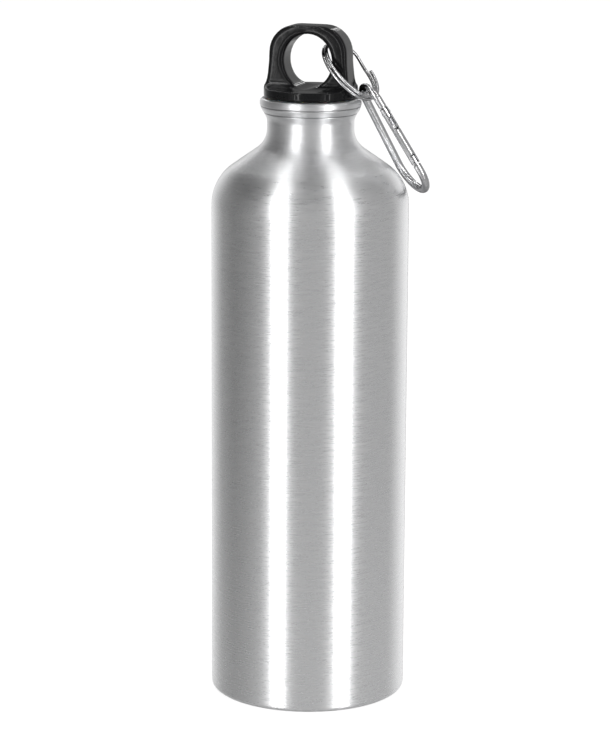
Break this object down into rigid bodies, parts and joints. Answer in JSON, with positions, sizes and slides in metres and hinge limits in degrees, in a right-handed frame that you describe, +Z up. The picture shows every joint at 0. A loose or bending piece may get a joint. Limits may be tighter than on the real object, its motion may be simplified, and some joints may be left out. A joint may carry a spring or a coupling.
{
  "type": "water bottle",
  "caption": "Brushed aluminium water bottle with a round shoulder, a screw cap with a carrying loop, a split ring and a sprung snap hook.",
  "frame": {"origin": "centre of the base, on the bottle's axis, level with the foot ring it stands on", "axes": "+Z up along the bottle's axis, +X towards the loop's leg that carries the ring and the hook, Y along the loop's hole"},
  "size_m": [0.0803, 0.073, 0.2517],
  "materials": {
    "brushed_aluminium": "brushed round the axis",
    "clear_silicone": "soft satin",
    "black_plastic": "glossy moulded",
    "bright_plating": "polished",
    "spring_steel": "satin"
  },
  "bodies": {
    "bottle": {"bottle_shell": "brushed_aluminium"},
    "gasket": {"cap_gasket": "clear_silicone"},
    "cap": {"loop_cap": "black_plastic"},
    "ring": {"split_ring": "bright_plating"},
    "carabiner": {"carabiner_frame": "bright_plating"},
    "gate": {"carabiner_gate": "bright_plating", "gate_rivet": "spring_steel", "nose_pin": "spring_steel", "gate_spring": "spring_steel"},
    "plunger": {"gate_plunger": "spring_steel"}
  },
  "joints": [
    {"name": "cap_rise", "type": "slide", "parent": "bottle", "child": "gasket", "axis": [0, 0, 1], "range_m": [0, 0.0131]},
    {"name": "cap_turn", "type": "hinge", "parent": "gasket", "child": "cap", "pos_m": [0, 0, 0.22528], "axis": [0, 0, 1], "range_deg": [0, 1170]},
    {"name": "ring_swing", "type": "hinge", "parent": "cap", "child": "ring", "pos_m": [0, 0, 0.23868], "axis": [0, -1, 0], "range_deg": [0, 90]},
    {"name": "carabiner_swing", "type": "hinge", "parent": "ring", "child": "carabiner", "pos_m": [0.02391, 0.00014, 0.2248], "axis": [-0.6215, -0.5951, -0.5094], "range_deg": [0, 100]},
    {"name": "gate_swing", "type": "hinge", "parent": "carabiner", "child": "gate", "pos_m": [0.03001, -0.00309, 0.22113], "axis": [0.6215, 0.5951, 0.5094], "range_deg": [0, 25], "stiffness_Nm_per_rad": 0.02, "springref_deg": -28.65},
    {"name": "plunger_slide", "type": "slide", "parent": "gate", "child": "plunger", "axis": [0.4466, 0.265, -0.8546], "range_m": [0, 0.0004]}
  ],
  "couplings": [
    {"joint": "cap_rise", "follows": "cap_turn", "m_per_rad": 0.00063662},
    {"joint": "plunger_slide", "follows": "gate_swing", "m_per_rad": 0.00085}
  ]
}
